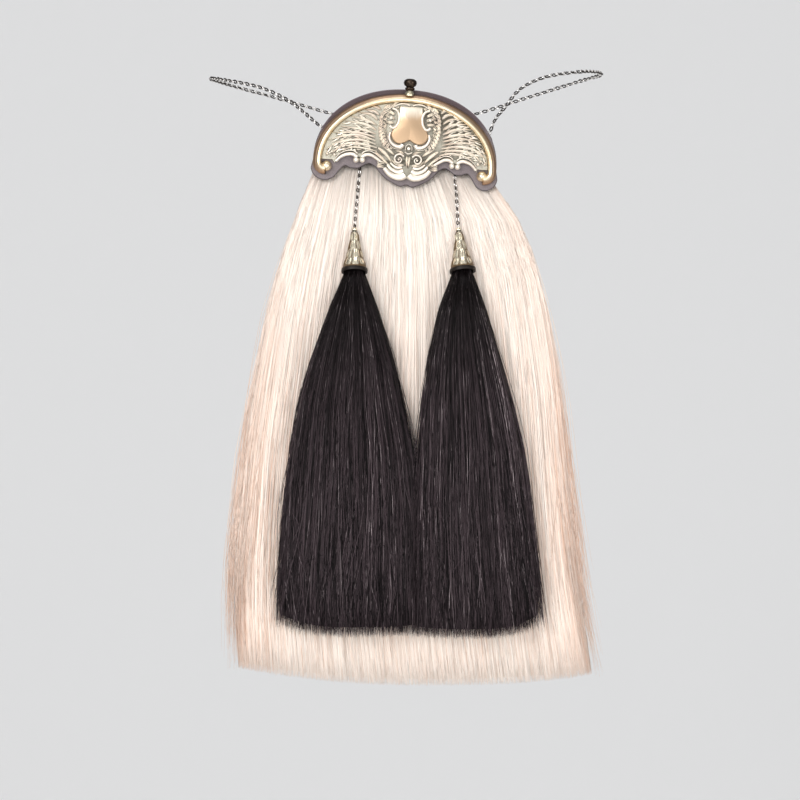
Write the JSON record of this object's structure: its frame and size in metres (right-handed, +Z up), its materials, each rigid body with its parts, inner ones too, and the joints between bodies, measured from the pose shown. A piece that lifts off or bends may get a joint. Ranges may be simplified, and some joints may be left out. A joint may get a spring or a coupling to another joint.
{
  "type": "dress sporran pouch",
  "caption": "Leather sporran pouch with a half-moon cast metal cantle, a long cream horsehair front, black hair tassels on fine chains and a waist chain.",
  "frame": {"origin": "middle of the pouch's flat back, level with the rings that the waist chain hangs from", "axes": "+Z up as worn, -Y the way the front faces, +X to the right seen from the front"},
  "size_m": [0.343, 0.314, 0.5174],
  "materials": {
    "leather": "dark plum-brown grained leather, satin, with darker cut edges",
    "relief": "cast relief in antique silver and pale brass, bright on the high parts and dark olive in the hollows",
    "rim_brass": "smooth rolled golden brass, polished on the bead and toned on the outer flank",
    "satin_brass": "smooth satin brass with a warm peach tone",
    "dark_metal": "turned, darkened brass, worn bright on the stem",
    "cream_hair": "long straight cream horsehair with a soft sheen",
    "black_hair": "long straight black horsehair with single grey hairs",
    "cone_metal": "embossed pale brass, bright on the high parts and brown in the hollows",
    "chain_silver": "fine linked chain in aged silver"
  },
  "bodies": {
    "root": {"pouch": "leather", "cantle_backing": "leather", "cantle_plate": "relief", "cantle_rim": "rim_brass", "shield": "satin_brass", "top_stud": "dark_metal", "belt_ring_left": "chain_silver", "belt_ring_right": "chain_silver", "hair_front": "cream_hair", "tassel_chain_left": "chain_silver", "tassel_chain_right": "chain_silver", "tassel_cone_left": "cone_metal", "tassel_cone_right": "cone_metal", "tassel_hair_left": "black_hair", "tassel_hair_right": "black_hair", "belt_chain_left": "chain_silver", "belt_chain_right": "chain_silver", "belt_clasp": "chain_silver"}
  },
  "joints": []
}
